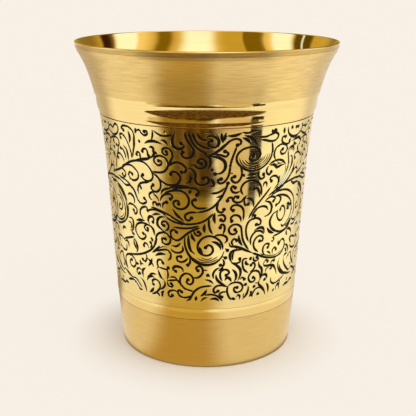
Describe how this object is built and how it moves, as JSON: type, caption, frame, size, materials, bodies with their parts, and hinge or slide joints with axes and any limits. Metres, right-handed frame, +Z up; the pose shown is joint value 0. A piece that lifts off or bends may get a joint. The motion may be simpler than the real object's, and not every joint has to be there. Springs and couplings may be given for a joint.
{
  "type": "tumbler",
  "caption": "Tall flared brass tumbler: polished inner cup with a hemmed lip, satin collar and foot, two polished rings and an engraved tapered sleeve.",
  "frame": {"origin": "on the axis, in the plane that the foot stands on", "axes": "+Z up along the axis, from the foot to the mouth; X and Y lie in the plane of the foot"},
  "size_m": [0.0902, 0.0902, 0.108],
  "materials": {
    "cup_brass": "mirror-polished drawn sheet",
    "satin_brass": "satin, brushed around the axis",
    "ring_brass": "polished",
    "engraved_brass": "polished, engraved with scrollwork filled with black lacquer",
    "base_brass": "plain pressed sheet",
    "solder": "dull soft solder"
  },
  "bodies": {
    "root": {"inner_cup": "cup_brass", "mouth_collar": "satin_brass", "upper_ring": "ring_brass", "engraved_sleeve": "engraved_brass", "lower_ring": "ring_brass", "foot_shell": "satin_brass", "base_disc": "base_brass", "base_solder": "solder"}
  },
  "joints": []
}
